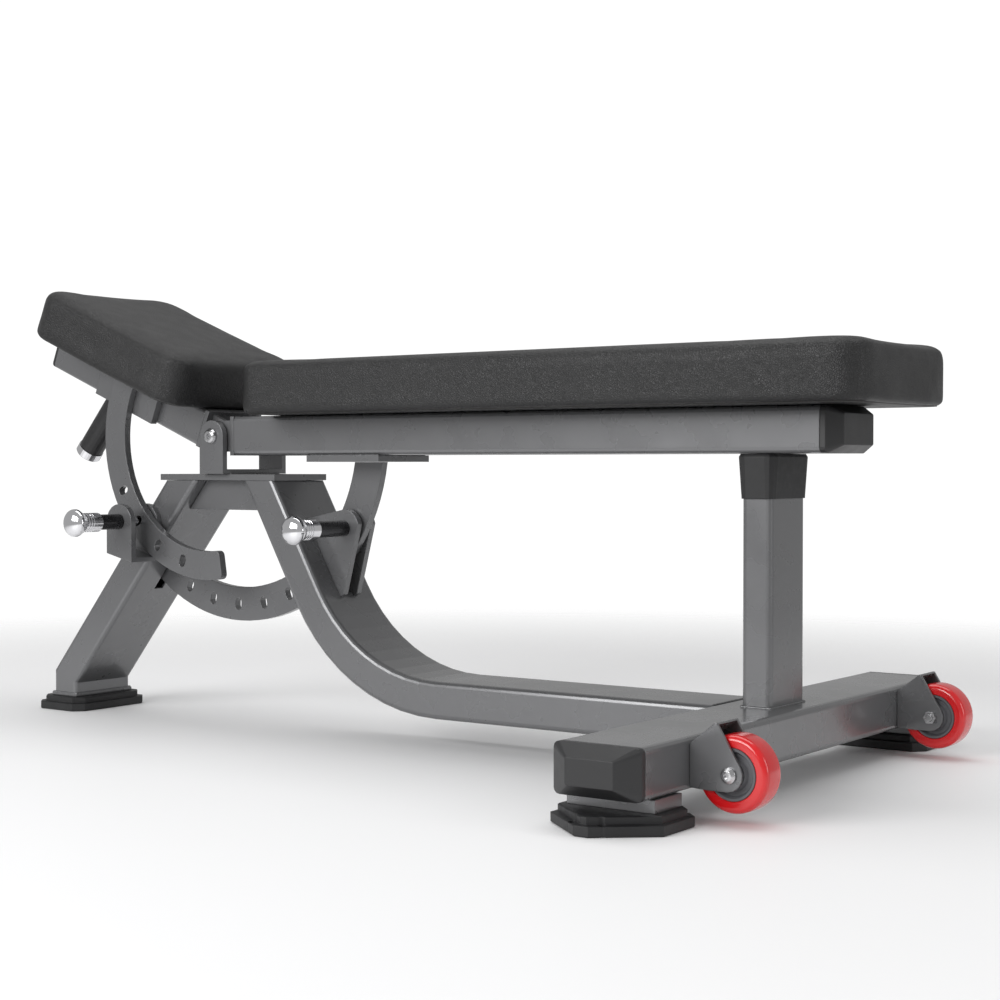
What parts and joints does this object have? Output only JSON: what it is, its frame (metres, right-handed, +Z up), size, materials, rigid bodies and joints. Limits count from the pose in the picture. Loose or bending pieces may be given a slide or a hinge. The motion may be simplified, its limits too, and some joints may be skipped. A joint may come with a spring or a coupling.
{
  "type": "adjustable weight bench",
  "caption": "Weight bench on a bent-tube frame. Seat and back tilt on one hinge, and pop pins in slotted arcs lock them. Wheels at the head end move it.",
  "frame": {"origin": "on the floor, under the middle of the bench's bounding box; the frame's mid-plane is Y = 0", "axes": "+X along the bench from the seat end to the head end, +Y to the left of a person lying on it with the head at +X, +Z up"},
  "size_m": [1.2644, 0.758, 0.5758],
  "materials": {
    "frame_paint": "mid grey paint, semi-gloss",
    "end_cap": "black moulded plastic, satin",
    "black_rubber": "black rubber, satin",
    "grip_rubber": "black rubber grip",
    "zinc_steel": "zinc-plated steel",
    "dark_steel": "blackened steel, semi-gloss",
    "chrome": "polished chrome",
    "red_tyre": "red polyurethane, glossy",
    "hub_plastic": "dark grey plastic",
    "plywood": "plywood, unseen",
    "black_vinyl": "black grained vinyl over foam"
  },
  "bodies": {
    "frame": {"main_beam": "frame_paint", "front_leg": "frame_paint", "top_plate": "frame_paint", "leg_brace": "frame_paint", "hinge_bracket": "frame_paint", "hinge_bolt": "zinc_steel", "hinge_nut": "zinc_steel", "hinge_spacer": "zinc_steel", "rear_crossbar": "frame_paint", "crossbar_cap_right": "end_cap", "crossbar_cap_left": "end_cap", "support_post": "frame_paint", "post_bumper": "black_rubber", "front_foot": "black_rubber", "front_base_plate": "frame_paint", "rear_foot_right": "black_rubber", "rear_foot_left": "black_rubber", "rear_riser_right": "frame_paint", "rear_riser_left": "frame_paint", "wheel_fork_right": "frame_paint", "wheel_fork_left": "frame_paint", "wheel_axle_right": "zinc_steel", "wheel_axle_left": "zinc_steel", "wheel_nut_right": "zinc_steel", "wheel_nut_left": "zinc_steel", "seat_pin_clevis": "frame_paint", "seat_pin_barrel": "dark_steel", "seat_pin_spring": "zinc_steel", "back_pin_gusset_right": "frame_paint", "back_pin_gusset_left": "frame_paint", "back_pin_barrel": "dark_steel", "back_pin_spring": "zinc_steel"},
    "back": {"back_tube": "frame_paint", "back_hinge_lugs": "frame_paint", "back_tube_cap": "end_cap", "back_doubler": "frame_paint", "back_arc": "frame_paint", "back_board": "plywood", "back_cushion": "black_vinyl"},
    "seat": {"seat_tube": "frame_paint", "seat_hinge_lugs": "frame_paint", "seat_tube_cap": "end_cap", "seat_arc_spacer": "frame_paint", "seat_arc": "frame_paint", "handle_core": "frame_paint", "handle_grip": "grip_rubber", "handle_ring": "chrome", "seat_board": "plywood", "seat_cushion": "black_vinyl"},
    "wheel_right": {"wheel_tyre_right": "red_tyre", "wheel_hub_right": "hub_plastic", "wheel_bearing_right": "zinc_steel"},
    "wheel_left": {"wheel_tyre_left": "red_tyre", "wheel_hub_left": "hub_plastic", "wheel_bearing_left": "zinc_steel"},
    "seat_pin": {"seat_pin_knob": "chrome"},
    "back_pin": {"back_pin_knob": "chrome"}
  },
  "joints": [
    {"name": "back_tilt", "type": "hinge", "parent": "frame", "child": "back", "pos_m": [-0.29778, 0, 0.375], "axis": [0, -1, 0], "range_deg": [0, 59.25]},
    {"name": "seat_tilt", "type": "hinge", "parent": "frame", "child": "seat", "pos_m": [-0.29778, 0, 0.375], "axis": [0, -1, 0], "range_deg": [-33.6, 16.8]},
    {"name": "seat_pin_pull", "type": "slide", "parent": "frame", "child": "seat_pin", "axis": [0, 1, 0], "range_m": [0, 0.014]},
    {"name": "back_pin_pull", "type": "slide", "parent": "frame", "child": "back_pin", "axis": [0, 1, 0], "range_m": [0, 0.014]},
    {"name": "wheel_right_spin", "type": "hinge", "parent": "frame", "child": "wheel_right", "pos_m": [0.56372, -0.243, 0.049], "axis": [0, 1, 0], "continuous": true},
    {"name": "wheel_left_spin", "type": "hinge", "parent": "frame", "child": "wheel_left", "pos_m": [0.56372, 0.243, 0.049], "axis": [0, 1, 0], "continuous": true}
  ]
}
